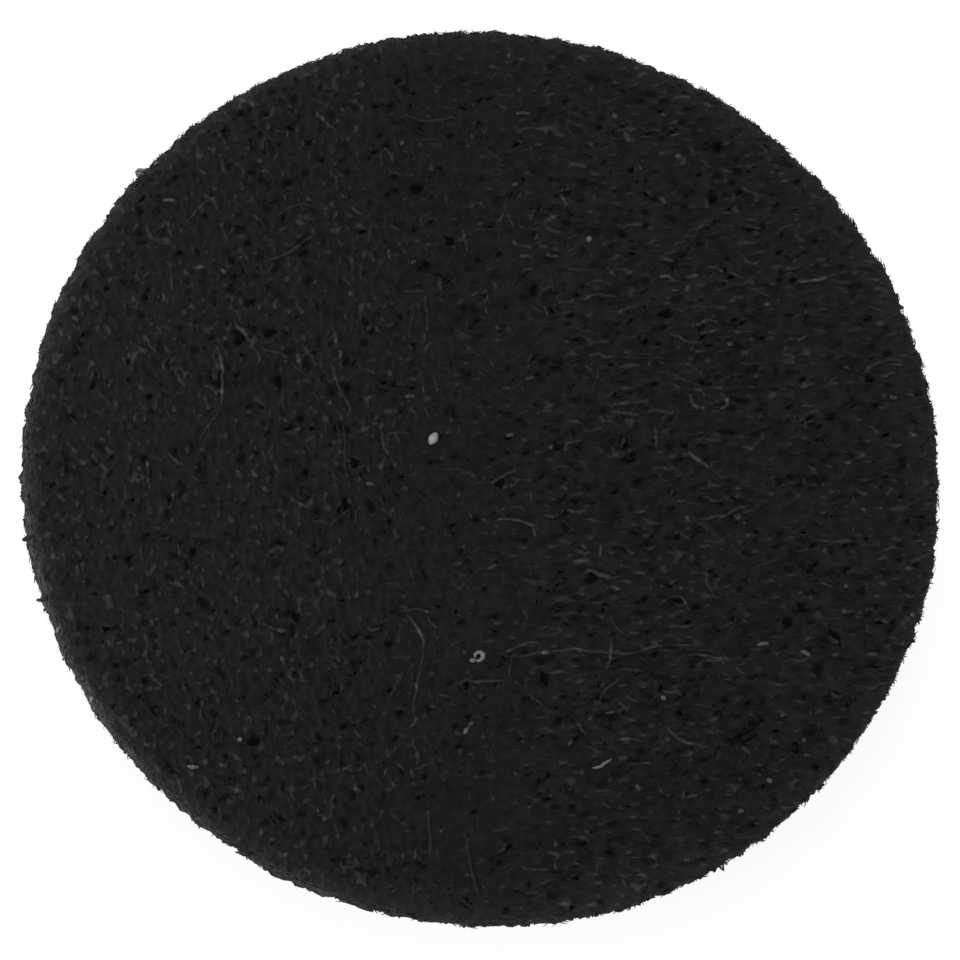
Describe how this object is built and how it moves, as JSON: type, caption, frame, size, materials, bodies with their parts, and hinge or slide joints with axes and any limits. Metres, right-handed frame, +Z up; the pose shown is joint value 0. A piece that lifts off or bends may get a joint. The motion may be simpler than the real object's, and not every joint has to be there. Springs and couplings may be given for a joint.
{
  "type": "felt furniture pad",
  "caption": "Round black felt pad for the underside of a chair or table foot: a thick, slightly oval disc with two flat faces and a softly rounded upper rim.",
  "frame": {"origin": "middle of the flat underside, on the surface that the pad lies on", "axes": "+Z is up through the thickness, from the underside to the upper face; +X is along the longest diameter of the slightly oval outline"},
  "size_m": [0.0386, 0.0374, 0.005],
  "materials": {
    "felt": "matt black needled felt"
  },
  "bodies": {
    "root": {"felt_pad": "felt"}
  },
  "joints": []
}
